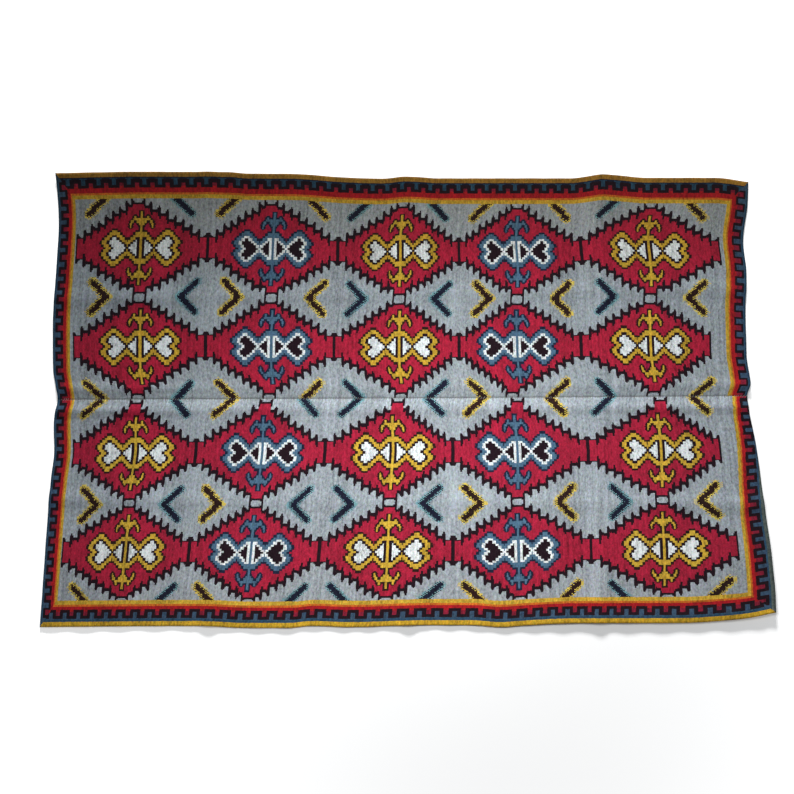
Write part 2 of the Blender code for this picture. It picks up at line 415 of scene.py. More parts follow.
# The upper side's band is navy and its teeth border blue, darker than the lower side's: painted
# shade along the upper edge.
UPPER_LONG_SIDE = BorderSide(
    hem=4.9, crest=7.4, trough=12.9, red=20.6, gold=26.6, line=3.3, pitch=15.4,
    hem_dye=Dye.OLD_GOLD, band_dye=Dye.NAVY, tooth_dye=Dye.BORDER_BLUE)
LOWER_LONG_SIDE = BorderSide(
    hem=4.9, crest=8.2, trough=14.0, red=19.9, gold=25.9, line=3.2, pitch=15.4,
    hem_dye=Dye.OLD_GOLD)
LEFT_SIDE = BorderSide(
    hem=0.0, crest=2.5, trough=8.2, red=13.4, gold=17.6, line=2.5, pitch=14.2,
    hem_dye=Dye.BORDER_BLUE)
UPPER_RIGHT_SIDE = BorderSide(
    hem=0.0, crest=2.7, trough=9.3, red=15.3, gold=20.4, line=2.0, pitch=14.2,
    hem_dye=Dye.BORDER_BLUE)
LOWER_RIGHT_SIDE = BorderSide(
    hem=3.6, crest=5.2, trough=12.2, red=18.0, gold=22.4, line=2.8, pitch=14.2,
    hem_dye=Dye.OLIVE, tuck=7.0)
TUCK_REACH = 120.0           # how far from the seam a side's tuck reaches, in ends


def from_stroke(x: np.ndarray, y: np.ndarray, start: tuple[float, float],
                end: tuple[float, float]) -> np.ndarray:
    """Distance from each place to a straight stroke.

    Args:
        x: places along, in ends.
        y: places across.
        start: where the stroke begins, along and across.
        end: where it ends.

    Returns:
        The distance of each place, in ends.
    """
    run_x, run_y = end[0] - start[0], end[1] - start[1]
    share = ((x - start[0]) * run_x + (y - start[1]) * run_y) / (run_x ** 2 + run_y ** 2)
    share = np.clip(share, 0.0, 1.0)
    return np.hypot(x - start[0] - share * run_x, y - start[1] - share * run_y)


@dataclass
class Chart:
    """A panel's chart: the dye of every stitch, warp by warp from the seam outwards."""
    along: np.ndarray = field(init=False)
    across: np.ndarray = field(init=False)
    dyes: np.ndarray = field(init=False)

    def __post_init__(self) -> None:
        """Start with grey ground all over."""
        self.along = (np.arange(ENDS_ALONG * STITCHES_PER_END) + 0.5) / STITCHES_PER_END
        self.across = np.arange(ENDS_ACROSS) + 0.5
        self.dyes = np.full((self.across.size, self.along.size), Dye.GREY.value, np.int8)

    def window(self, left: float, right: float, low: float, high: float
               ) -> tuple[np.ndarray, np.ndarray, np.ndarray]:
        """The dyes in a window, as a view, with their places along and across.

        Args:
            left: where the window begins along the panel, in ends.
            right: where it ends.
            low: where it begins across the panel.
            high: where it ends.

        Returns:
            The dyes, the places along as one row, and the places across as one column.
        """
        columns = slice(*np.searchsorted(self.along, [left, right]))
        rows = slice(*np.searchsorted(self.across, [low, high]))
        return self.dyes[rows, columns], self.along[None, columns], self.across[rows, None]

    def in_faces(self) -> np.ndarray:
        """The dyes of each face of the cloth, as rows, columns, warps and stitches."""
        faces = self.dyes.reshape(FACES_ACROSS, FACE_WARPS, FACES_ALONG, FACE_STITCHES)
        return faces.swapaxes(1, 2)


class Run(NamedTuple):
    """A run of one yarn in a motif: its row from the middle, and its first and last end."""
    row: int
    first: float
    last: float


HEART_RUNS = (
    Run(0, 15.5, 27.4), Run(1, 17.4, 29.6), Run(2, 19.8, 31.8), Run(3, 22.2, 31.4),
    Run(4, 25.2, 28.8),
)
LOZENGE_RUNS = (Run(0, 0.0, 12.0), Run(1, 0.0, 9.8), Run(2, 0.0, 7.4), Run(3, 0.0, 5.0))
FINIAL_RUNS = (
    Run(9, 0.0, 1.0), Run(9, 10.6, 11.6), Run(10, 0.0, 2.6), Run(10, 10.0, 11.8),
    Run(11, 0.0, 4.8), Run(11, 8.4, 10.9), Run(12, 0.0, 8.6), Run(13, 0.0, 1.0),
    Run(13, 5.6, 7.4),
)


def from_runs(x: np.ndarray, row: np.ndarray, runs: tuple[Run, ...], lean: float) -> np.ndarray:
    """How far each place is from the nearest run, counted in ends along.

    Args:
        x: places along, from the motif's middle, in ends.
        row: the row of each place.
        runs: the runs.
        lean: how many ends one row across counts for.

    Returns:
        The stepped distance, which is 0 on a run.
    """
    best = np.full(np.broadcast(x, row).shape, np.inf)
    for run in runs:
        aside = np.maximum(np.maximum(run.first - x, x - run.last), 0.0)
        best = np.minimum(best, aside + lean * np.abs(row - run.row))
    return best


def within(values: np.ndarray, span: tuple[float, float]) -> np.ndarray:
    """Where values lie between the two ends of a span."""
    return (values > span[0]) & (values < span[1])


@dataclass(frozen=True)
class Motif:
    """The double heart on its lozenge, with a hooked finial above and below.

    One quarter is charted in short runs of yarn, and mirrored both ways. Each band of
    colour follows the runs at a stepped distance, so its sides climb like stairs.
    """
    core: Dye
    check: Dye
    band: Dye
    edge: Dye
    reach: float = 46.0
    row_height: float = 2.4
    lean: float = 2.4            # how many ends one row across counts for
    on_run: float = 0.1          # the stepped distances at which the runs and each band end
    check_to: float = 3.2
    band_to: float = 8.0
    edge_to: float = 10.9
    rim: float = 2.9             # how far the edge reaches from a finial, or the stem's middle
    rim_past: float = 1.5        # how far it goes on past the stem
    stem: tuple[float, float] = (14.0, 37.0)
    stem_half: float = 1.1
    spine_half: float = 1.3
    block_half: float = 3.9      # the checked block in the very middle
    block_top: float = 11.0
    blush: tuple[float, float] = (2.5, 7.0)
    blush_rise: tuple[float, float] = (18.5, 25.0)

    def weave(self, chart: Chart, along: float, across: float) -> None:
        """Weave the motif.

        Args:
            chart: the chart to weave into.
            along: its middle along the panel, in ends.
            across: its middle across the panel.
        """
        dyes, x, y = chart.window(along - self.reach, along + self.reach,
                                  across - self.reach, across + self.reach)
        x, y = np.abs(x - along), np.abs(y - across)
        row = np.round(y / self.row_height)
        heart = from_runs(x, row, HEART_RUNS, self.lean)
        lozenge = from_runs(x, row, LOZENGE_RUNS, self.lean)
        body = np.minimum(heart, lozenge)
        finial = from_runs(x, row, FINIAL_RUNS, self.lean)
        round_finial = from_runs(x, y / self.row_height, FINIAL_RUNS, self.lean)
        round_stem = within(y, (self.stem[0], self.stem[1] + self.rim_past)) & (x < self.rim)
        blushed = within(x, self.blush) & within(y, self.blush_rise)
        dyes[blushed & (dyes == Dye.CRIMSON.value)] = Dye.MAGENTA.value
        edged = (body < self.edge_to) | (round_finial < self.rim) | round_stem
        dyes[edged & (dyes != Dye.BLACK.value)] = self.edge.value
        dyes[(body < self.band_to) | (finial < self.on_run)
             | (within(y, self.stem) & (x < self.stem_half))] = self.band.value
        dyes[(body < self.check_to) | ((x < self.block_half) & (y < self.block_top))
             ] = self.check.value
        dyes[(heart < self.on_run) | ((lozenge < self.on_run) & (x > self.block_half))
             ] = self.core.value
        dyes[(x < self.spine_half) & (y < self.stem[0])] = self.band.value


GOLD_MOTIF = Motif(core=Dye.WHITE, check=Dye.BLACK, band=Dye.GOLD, edge=Dye.BROWN)
SLATE_MOTIF = Motif(core=Dye.BLACK, check=Dye.WHITE, band=Dye.SLATE, edge=Dye.NAVY)


@dataclass(frozen=True)
class Medallion:
    """A crimson medallion with saw-toothed sides and a post at its seam side and outer side.

    Every quarter has eight teeth, which fall away evenly from the post to the bar at the
    medallion's corner. A tooth is a tall black upright, blunt at its tip, with a heavy black
    foot below the tip that runs back to the tooth before.
    """
    middle: tuple[float, float]
    bars: tuple[float, float]
    apexes: tuple[float, float]
    caps: tuple[float, float]
    tips: tuple[float, float]
    teeth: int = 8               # on each quarter
    margin: tuple[float, float] = (3.0, 7.0)     # how far past a bar and a cap it may go
    post: float = 6.3            # from a post's middle to its outline
    post_line: float = 1.0       # half the outline's width
    post_foot: float = 3.0       # it runs from this far and a cap's line below the first tip,
    post_head: float = 6.0       # or below the cap, to this far past the cap
    cap_line: float = 2.0
    cap_lip: float = 1.2         # the cap's thin upper part, which is open in its middle
    cap_open: float = 2.4
    bar_reach: float = 14.8      # half a bar's height
    bar: float = 1.7
    bar_joint: float = 4.5       # how far below its end a bar stands alone
    rise: float = 4.65           # how far each tooth stands above the next one out
    fall: float = 1.5            # the same near the post, where the first tip holds it down
    uneven: float = 0.8
    upright: float = 3.1         # an upright's width near its tip
    shaft: float = 11.0          # how far down it is that wide
    thin: float = 2.0            # its width below that
    stroke: float = 14.0         # how far down it goes in all
    blunt: float = 1.5           # how far the corners of its tip are cut
    notch: float = 0.8           # from a tip down to its foot
    pick: float = 1.2            # one step of a foot's slope
    drop: float = 2.8            # how far a foot slopes in all
    line: float = 3.2            # a foot's thickness, one end more up to the heel
    heel: float = 4.6

    def weave(self, chart: Chart) -> None:
        """Weave the medallion into a chart."""
        for side in (0, 1):
            self.weave_half(chart, side)

    def weave_half(self, chart: Chart, side: int) -> None:
        """Weave one half of it.

        Places are counted in teeth, out from the post. The unevenness of the tips is a sine of
        the tooth's number, with a phase of its own in each quarter.

        Args:
            chart: the chart to weave into.
            side: 0 for the half by the seam, 1 for the outer one.
        """
        apex, cap = self.apexes[side], self.caps[side]
        past, beyond = self.margin
        low, high = sorted((cap + (beyond if side else -beyond), self.middle[1]))
        dyes, x, y = chart.window(self.bars[0] - past, self.bars[1] + past, low, high)
        height, off_apex, on_left = np.abs(y - self.middle[1]), np.abs(x - apex), x < apex
        top, first = abs(cap - self.middle[1]), abs(self.tips[side] - self.middle[1])
        reach = np.where(on_left, apex - self.bars[0], self.bars[1] - apex)
        step = (reach - self.post) / self.teeth
        place = (off_apex - self.post) / step
        tooth = np.ceil(place)
        from_edge = (tooth - place) * step
        phase = 0.9 * apex + 2.0 * side + np.where(on_left, 0.0, 1.9)
        uneven = self.uneven * np.sin(2.3 * tooth + phase)
        tip = np.minimum(self.bar_reach + (self.teeth - tooth) * self.rise,
                         first - (tooth - 1.0) * self.fall)
        tip = tip + np.where(tooth == self.teeth, 0.0, uneven)
        on_upright = from_edge < self.upright
        blunt = self.blunt * (np.abs(from_edge - 0.5 * self.upright) > 0.3 * self.upright)
        slope = np.floor(from_edge / self.pick - 1.0) * self.pick
        foot = tip - self.notch - np.minimum(slope, self.drop)
        toothed, between = (place > 0) & (place <= self.teeth), place <= 0
        inside = toothed & (height < np.where(on_upright, tip - blunt, foot))
        black = inside & (height > foot - self.line - 1.0 * (from_edge < self.heel))
        black |= inside & on_upright & (height > tip - self.stroke - uneven)
        black &= ~(on_upright & (from_edge > self.thin) & (height < tip - self.shaft))
        last = toothed & (tooth == self.teeth)
        black &= ~(last & (from_edge > self.bar) & (height < self.bar_reach - self.bar_joint))
        black |= last & (from_edge < self.bar) & (height < tip)
        post_from = min(first - self.post_foot, top) - self.cap_line
        black |= ((np.abs(off_apex - self.post) < self.post_line)
                  & within(height, (post_from, top + self.post_head)))
        black |= between & within(height, (top - self.cap_line, top))
        black |= (between & (height >= top) & (height < top + self.cap_lip)
                  & (off_apex > self.post - self.cap_open))
        dyes[inside | (between & (height < top))] = Dye.CRIMSON.value
        dyes[black] = Dye.BLACK.value


@dataclass(frozen=True)
class Chevrons:
    """Rows of small stepped chevrons on the grey ground, each with a halo of its own yarn.

    A straw halo is even and widely stepped, and a teal one is patchy.
    """
    rows: tuple[ChevronRow, ...]
    straw: tuple[int, ...]
    reach: tuple[float, float] = (22.0, 25.0)
    tip_ahead: float = 6.5       # from a chevron's middle to its tip
    arm: float = 15.2
    core: float = 3.2
    halo: float = 4.4
    straw_extra: float = 0.7     # how much wider than that a straw halo is
    teal_less: float = 0.3       # and how much narrower a teal one
    straw_step: float = 2.5      # the steps along of each yarn's sides, and across of straw's
    teal_step: float = 2.0
    straw_rise: float = 2.0
    rag: float = 0.9             # how ragged the halo is, and the core beyond that
    core_rag: float = 0.7
    rag_step: float = 1.5
    straw_spot: float = 4.6      # how far to the right of the tip the spot of straw sits
    teal_spot: float = 3.6       # how far past the tip the spot of teal sits
    spot: float = 2.0

    def weave(self, chart: Chart) -> None:
        """Weave every chevron of every row. They face right and left by turns.

        Args:
            chart: the chart to weave into.
        """
        for row in self.rows:
            for column, along in enumerate(row.along):
                yarn = Dye.STRAW if column in self.straw else Dye.TEAL
                self.weave_one(chart, row, along, -1 if column % 2 else 1, yarn)

    def weave_one(self, chart: Chart, row: ChevronRow, along: float, facing: int,
                  yarn: Dye) -> None:
        """Weave one chevron.

        Args:
            chart: the chart to weave into.
            row: the row it is in.
            along: its middle, in ends.
            facing: 1 if its tip is on the right, and -1 if it is on the left.
            yarn: the yarn of its halo.
        """
        dyes, x, y = chart.window(along - self.reach[0], along + self.reach[0],
                                  row.across - self.reach[1], row.across + self.reach[1])
        is_straw = yarn is Dye.STRAW
        tip = along + self.tip_ahead * facing
        step = self.straw_step if is_straw else self.teal_step
        stepped_x = np.round(x / step) * step
        stepped_y = (np.floor(y / self.straw_rise) + 0.5) * self.straw_rise if is_straw else y
        gap = np.full(np.broadcast(x, y).shape, np.inf)
        for arm in row.arms:
            end = (tip - self.arm * facing, row.across + self.arm * arm)
            gap = np.minimum(gap, from_stroke(stepped_x, stepped_y, (tip, row.across), end))
        ragged = (np.floor(x / self.rag_step) + np.floor(y)) % 2 - 0.5
        gap = gap + self.rag * ragged
        behind = np.abs(x - tip + 12.0 * facing)
        patchy = 0.9 * np.sin(1.9 * x) * np.sin(1.3 * y) + 0.09 * behind
        halo = self.halo + (self.straw_extra if is_straw else patchy - self.teal_less)
        glow = tip + (self.straw_spot if is_straw else self.teal_spot * facing)
        beyond = from_stroke(x, y, (glow - 0.5, row.across), (glow + 0.5, row.across))
        ground = dyes == Dye.GREY.value
        dyes[ground & ((gap < halo) | (beyond < self.spot))] = yarn.value
        core = (dyes == yarn.value) & (gap + self.core_rag * ragged < self.core)
        dyes[core] = (Dye.BROWN if is_straw else Dye.INK).value


@dataclass(frozen=True)
class Borders:
    """The border on a panel's three outer sides: hem, blue, a battlement line, red and gold."""
    long_side: BorderSide
    left: BorderSide
    right: BorderSide
    run_from: float = 3.0        # where the battlement line of an end starts, before the seam
    wall_extra: float = 0.2      # how much further than half a line its steps reach
    tooth_past: float = 1.0      # how far a tooth's own dye goes past the line's crest
    orange: float = 0.33         # the share of the space from red to gold that is orange
    wine: float = 0.4            # how much of a line's width below it is wine

    def weave(self, chart: Chart) -> None:
        """Weave the border, mitred at its corners.

        A tuck moves a side's bands outwards by the seam, and less and less away from it.

        Args:
            chart: the chart to weave into.
        """
        along, across = chart.along[None, :], chart.across[:, None]
        tucked = np.clip(1.0 - across / TUCK_REACH, 0.0, 1.0)
        up_end = across + self.run_from
        sides = (
            (self.long_side, ENDS_ACROSS - across, along),
            (self.left, along + self.left.tuck * tucked, up_end),
            (self.right, ENDS_ALONG - along + self.right.tuck * tucked, up_end),
        )
        shape = chart.dyes.shape
        depths = [np.broadcast_to(depth / side.gold, shape) for side, depth, _ in sides]
        nearest = np.argmin(depths, axis=0)
        for number, (side, depth, run) in enumerate(sides):
            depth, run = np.broadcast_to(depth, shape), np.broadcast_to(run, shape)
            here = (nearest == number) & (depth < side.gold)
            chart.dyes[here] = self.bands(side, depth[here], run[here])

    def bands(self, side: BorderSide, depth: np.ndarray, run: np.ndarray) -> np.ndarray:
        """The dyes of one side's bands.

        Args:
            side: the side.
            depth: how far each stitch is from the outer edge, in ends.
            run: how far it is along the side.

        Returns:
            One dye number for each stitch.
        """
        half = 0.5 * side.pitch
        in_tooth = run % side.pitch >= half
        line_at = np.where(in_tooth, side.trough, side.crest)
        from_wall = np.minimum(run % half, half - run % half)
        wall = ((from_wall < 0.5 * side.line + self.wall_extra)
                & within(depth, (side.crest, side.trough + side.line)))
        tooth = in_tooth & ~wall & within(depth, (side.crest - self.tooth_past, side.trough))
        bands = (
            (depth < side.hem, side.hem_dye),
            (tooth, side.tooth_dye),
            ((depth < line_at) & ~wall, side.band_dye),
            ((depth < line_at + side.line) | wall, Dye.BLACK),
            (depth < side.trough + self.wine * side.line, Dye.WINE),
            (depth < side.red, Dye.BORDER_RED),
            (depth < side.red + self.orange * (side.gold - side.red), Dye.ORANGE),
        )
        places, dyes = zip(*bands)
        return np.select(places, [dye.value for dye in dyes], Dye.GOLD.value)


def woven_chart(rows: tuple[MedallionRow, ...], chevrons: Chevrons, borders: Borders) -> Chart:
    """Chart a whole panel: chevrons first, then medallions with their motifs, then the border.

    Args:
        rows: the two rows of medallions, the seam's first.
        chevrons: the rows of chevrons.
        borders: the border.

    Returns:
        The panel's chart.
    """
    chart = Chart()
    chevrons.weave(chart)
    for number, row in enumerate(rows):
        for column, (heart, tip) in enumerate(zip(row.hearts, row.tips)):
            between = 0.5 * (heart + rows[1 - number].hearts[column])
            apexes = (tip, between) if number == 0 else (between, tip)
            Medallion((heart, row.middle), row.bars[column:column + 2], apexes,
                      (row.inner_cap, row.outer_cap), (row.inner_tip, row.outer_tip)).weave(chart)
            (GOLD_MOTIF if column % 2 == 0 else SLATE_MOTIF).weave(chart, heart, row.middle)
    borders.weave(chart)
    return chart


# ---------------------------------------------------------------- node building
Colour = tuple[int, int, int]
Socket = bpy.types.NodeSocket


def linear(red: int, green: int, blue: int) -> tuple[float, float, float, float]:
    """A colour's linear values, from its screen values of 0 to 255."""
    screen = np.array([red, green, blue]) / 255.0
    light = np.where(screen <= 0.04045, screen / 12.92, ((screen + 0.055) / 1.055) ** 2.4)
    return (*(float(c) for c in light), 1.0)


@dataclass
class Graph:
    """Adds nodes to one tree by short calls, and links what it is given."""
    tree: bpy.types.NodeTree

    def put(self, socket: Socket, value: object) -> None:
        """Link an input to another node's output, or set it to a constant.

        Args:
            socket: the input.
            value: the output or the constant.
        """
        if isinstance(value, Socket):
            self.tree.links.new(value, socket)
        else:
            socket.default_value = value

    def fill(self, node: bpy.types.Node, **inputs: object) -> bpy.types.Node:
        """Give a node its inputs.

        Args:
            node: the node.
            **inputs: its inputs by name, with _ for a space.

        Returns:
            The node itself.
        """
        for name, value in inputs.items():
            self.put(node.inputs[name.replace("_", " ")], value)
        return node

    def add(self, kind: str, settings: dict | None = None, **inputs: object) -> bpy.types.Node:
        """Add a node.

        Args:
            kind: its type's identifier.
            settings: its own properties.
            **inputs: its inputs by name, with _ for a space.

        Returns:
            The new node.
        """
        node = self.tree.nodes.new(kind)
        for name, value in (settings or {}).items():
            setattr(node, name, value)
        return self.fill(node, **inputs)

    def group(self, tree: bpy.types.NodeTree, **inputs: object) -> bpy.types.NodeOutputs:
        """Place a node group, and give its outputs."""
        return self.add("ShaderNodeGroup", {"node_tree": tree}, **inputs).outputs

    def feed(self, kind: str, settings: dict, inputs: dict[int, object]) -> bpy.types.NodeOutputs:
        """Add a node whose inputs go by their places.

        Args:
            kind: its type's identifier.
            settings: its own properties.
            inputs: its inputs, by their places.

        Returns:
            Its outputs.
        """
        node = self.add(kind, settings)
        for place, value in inputs.items():
            self.put(node.inputs[place], value)
        return node.outputs

    def math(self, operation: str, *values: object) -> Socket:
        """A Math node's result."""
        return self.feed("ShaderNodeMath", {"operation": operation}, dict(enumerate(values)))[0]

    def choose(self, factor: object, low: object, high: object) -> Socket:
        """A number between low and high."""
        return self.feed("ShaderNodeMix", {"data_type": "FLOAT"}, {0: factor, 2: low, 3: high})[0]

    def tint(self, blend: str, factor: object, base: object, other: object) -> Socket:
        """Two colours blended."""
        return self.feed("ShaderNodeMix", {"data_type": "RGBA", "blend_type": blend},
                         {0: factor, 6: base, 7: other})[2]

    def shaded(self, colour: object, shade: Socket) -> Socket:
        """A colour made lighter or darker by one number."""
        grey = self.add("ShaderNodeCombineXYZ", X=shade, Y=shade, Z=shade).outputs[0]
        return self.tint("MULTIPLY", 1.0, colour, grey)

    def parts(self, vector: object) -> bpy.types.NodeOutputs:
        """A vector's three numbers."""
        return self.add("ShaderNodeSeparateXYZ", Vector=vector).outputs

    def humps(self, value: object) -> Socket:
        """A row of round humps, one for each whole number: |sin(pi * value)|."""
        return self.math("ABSOLUTE", self.math("SINE", self.math("MULTIPLY", value, np.pi)))

    def eased(self, value: object, start: float, stop: float, low: float = 0.0,
              high: float = 1.0) -> Socket:
        """A number that eases from one value into another.

        Args:
            value: the number that it depends on.
            start: where it begins to leave low.
            stop: where it reaches high.
            low: what it is up to start.
            high: what it is from stop on.

        Returns:
            The eased number.
        """
        return self.add("ShaderNodeMapRange", {"interpolation_type": "SMOOTHSTEP"}, Value=value,
                        From_Min=start, From_Max=stop, To_Min=low, To_Max=high).outputs[0]

    def noise(self, vector: object, scale: float, detail: float = 2.0, offset: object = 0.0
              ) -> bpy.types.NodeOutputs:
        """Noise from 0 to 1, as a number and a colour. An offset gives each dye its own."""
        return self.add("ShaderNodeTexNoise", {"noise_dimensions": "4D"},
                        Vector=vector, W=offset, Scale=scale, Detail=detail).outputs


def new_material(name: str) -> tuple[bpy.types.Material, Graph, bpy.types.Node]:
    """Start a material: itself, its graph and its shader."""
    made = bpy.data.materials.new(name)
    made.use_nodes = True
    return made, Graph(made.node_tree), made.node_tree.nodes["Principled BSDF"]


def new_group(name: str, inputs: dict[str, str], outputs: dict[str, str]
              ) -> tuple[Graph, bpy.types.NodeOutputs, bpy.types.Node]:
    """Start a node group.

    Args:
        name: the group's name.
        inputs: its inputs' socket types, by their names.
        outputs: its outputs' types, likewise.

    Returns:
        Its graph, what it is given and the node that takes its results.
    """
    tree = bpy.data.node_groups.new(name, "ShaderNodeTree")
    for in_out, sockets in (("INPUT", inputs), ("OUTPUT", outputs)):
        for label, kind in sockets.items():
            tree.interface.new_socket(name=label, in_out=in_out, socket_type=kind)
    graph = Graph(tree)
    return graph, graph.add("NodeGroupInput").outputs, graph.add("NodeGroupOutput")


COLOUR, NUMBER, VECTOR = "NodeSocketColor", "NodeSocketFloat", "NodeSocketVector"


class Streak(NamedTuple):
    """A noise in a dye's shade: its stretch across the loom, size, detail and depth."""
    squeeze: float
    scale: float
    detail: float
    depth: float


STREAKS = (
    Streak(0.10, 0.045, 2.0, 0.60), Streak(0.05, 0.42, 2.0, 1.10),
    Streak(0.60, 0.55, 2.0, 1.60), Streak(0.80, 1.50, 1.0, 1.00),
)


@dataclass
class WeaveEffects:
    """The node groups that both panels' wools share."""
    stitch: bpy.types.NodeTree = field(init=False)
    relief: bpy.types.NodeTree = field(init=False)
    abrash: bpy.types.NodeTree = field(init=False)

    def __post_init__(self) -> None:
        """Build the groups."""
        self.stitch = self.build_stitch()
        self.relief = self.build_relief()
        self.abrash = self.build_abrash()

    def build_stitch(self) -> bpy.types.NodeTree:
        """A face's stitch at a place on it: the dye number of one of two warps' four stitches.

        Returns:
            The node group.
        """
        graph, given, result = new_group(
            "stitch in its face",
            {"Place": VECTOR, "Low warp": COLOUR, "Low last": NUMBER, "High warp": COLOUR,
             "High last": NUMBER}, {"Dye": NUMBER})
        place = graph.parts(given["Place"])
        warps = []
        for warp in ("Low", "High"):
            dyes = graph.add("ShaderNodeSeparateColor", Color=given[warp + " warp"]).outputs
            picked = dyes[0]
            for number, dye in enumerate((dyes[1], dyes[2], given[warp + " last"]), start=1):
                passed = graph.math("GREATER_THAN", place[0], number / FACE_STITCHES)
                picked = graph.choose(passed, picked, dye)
            warps.append(picked)
        upper = graph.math("GREATER_THAN", place[1], 1.0 / FACE_WARPS)
        graph.fill(result, Dye=graph.choose(upper, *warps))
        return graph.tree

    def build_relief(self) -> bpy.types.NodeTree:
        """The weave's height: a rib on every warp, and on it a bead for every second pick.

        The rib is |sin(pi * across)|, and the bead is |sin(pi * picks along)|, moved by half a
        bead from one warp to the next. Noise makes the beads and ribs uneven.

        Returns:
            The node group.
        """
        graph, given, result = new_group("weave relief", {"Loom": VECTOR, "Picks per end": NUMBER},
                                         {"Height": NUMBER, "Groove": NUMBER})
        loom = given["Loom"]
        sway = graph.math("MULTIPLY_ADD", graph.noise(loom, 0.11)[0], 1.4, -0.7)
        place = graph.parts(loom)
        across = graph.math("ADD", place[1], graph.math("MULTIPLY", sway, 0.12))
        rib = graph.humps(across)
        odd = graph.math("FLOORED_MODULO", graph.math("FLOOR", across), 2.0)
        picks = graph.math("MULTIPLY_ADD", place[0], given["Picks per end"], sway)
        bead = graph.humps(graph.math("ADD", picks, graph.math("MULTIPLY", odd, 0.5)))
        mixed = graph.math("MULTIPLY", graph.math("POWER", rib, 0.6),
                           graph.math("MULTIPLY_ADD", bead, 0.5, 0.5))
        fuzz = graph.noise(loom, 2.3, 3.0)[0]
        graph.fill(result, Height=graph.math("MULTIPLY_ADD", fuzz, 0.45, mixed),
                   Groove=graph.math("SUBTRACT", 1.0, mixed))
        return graph.tree

    def build_abrash(self) -> bpy.types.NodeTree:
        """How far a dye's shade strays: streaks across the loom, flecks in the yarn and wear.

        Streaks are noise stretched up to 20 times across the loom, different for each dye,
        because every batch of yarn is woven in as a few picks. Mottle and flecks are finer
        noise, and the cast is a noise in each of red, green and blue. Wear is broad.

        Returns:
            The node group.
        """
        graph, given, result = new_group("abrash", {"Loom": VECTOR, "Dye": NUMBER},
                                         {"Shade": NUMBER, "Cast": COLOUR, "Wear": NUMBER})
        place = graph.parts(given["Loom"])
        own = graph.math("MULTIPLY", given["Dye"], 57.0)

        def stretched(share: float) -> Socket:
            """The loom's places, squeezed across it."""
            squeezed = graph.math("MULTIPLY", place[1], share)
            return graph.add("ShaderNodeCombineXYZ", X=place[0], Y=squeezed).outputs[0]

        shade = 1.0
        for streak in STREAKS:
            noise = graph.noise(stretched(streak.squeeze), streak.scale, streak.detail, own)[0]
            stray = graph.math("SUBTRACT", noise, 0.5)
            shade = graph.math("MULTIPLY_ADD", stray, streak.depth, shade)
        graph.fill(result, Shade=graph.math("MAXIMUM", shade, 0.3),
                   Cast=graph.noise(stretched(0.7), 0.8, 1.0, own)["Color"],
                   Wear=graph.noise(given["Loom"], 0.018, 4.0)[0])
        return graph.tree


COMMON_DYES = {
    Dye.BLACK: (30, 9, 22), Dye.WHITE: (234, 241, 242), Dye.SLATE: (78, 112, 138),
    Dye.NAVY: (22, 32, 58), Dye.TEAL: (118, 164, 172), Dye.BROWN: (42, 20, 16),
    Dye.BORDER_BLUE: (42, 78, 104), Dye.ORANGE: (214, 112, 36), Dye.BORDER_RED: (176, 24, 34),
    Dye.OLIVE: (92, 104, 100), Dye.MAGENTA: (166, 24, 66), Dye.INK: (20, 24, 46),
    Dye.WINE: (140, 28, 54), Dye.DENIM: (60, 86, 112), Dye.STRAW: (220, 196, 92),
}


@dataclass(frozen=True)
class DyeLot:
    """One panel's own wools, as screen colours, and the light and shade painted across it."""
    name: str
    grey: Colour
    crimson: Colour
    gold: Colour
    hem: Colour
    painted_seam_shading: float               # the painted shading at the seam, as a share of the cloth's: painted shade below 1, painted light above it
    painted_seam_reach: float            # how far from the seam the painted shading reaches, in ends
    # Painted shade towards the outer edge, as red, green and blue factors.
    painted_edge_shade: tuple[float, float, float]

    def colours(self) -> dict[Dye, Colour]:
        """Every dye's colour in this lot."""
        return COMMON_DYES | {Dye.GREY: self.grey, Dye.CRIMSON: self.crimson,
                              Dye.GOLD: self.gold, Dye.OLD_GOLD: self.hem}


# The upper lot's hem gold is darker than the lower lot's: painted shade along the upper edge.
UPPER_LOT = DyeLot("upper wool", grey=(163, 172, 178), crimson=(179, 30, 59),
                   gold=(208, 168, 54), hem=(170, 126, 48), painted_seam_shading=0.84, painted_seam_reach=7.0,
                   painted_edge_shade=(0.84, 0.79, 0.71))
LOWER_LOT = DyeLot("lower wool", grey=(166, 175, 182), crimson=(175, 30, 60),
                   gold=(212, 173, 58), hem=(208, 166, 44), painted_seam_shading=1.22, painted_seam_reach=17.0,
                   painted_edge_shade=(0.96, 0.93, 0.91))


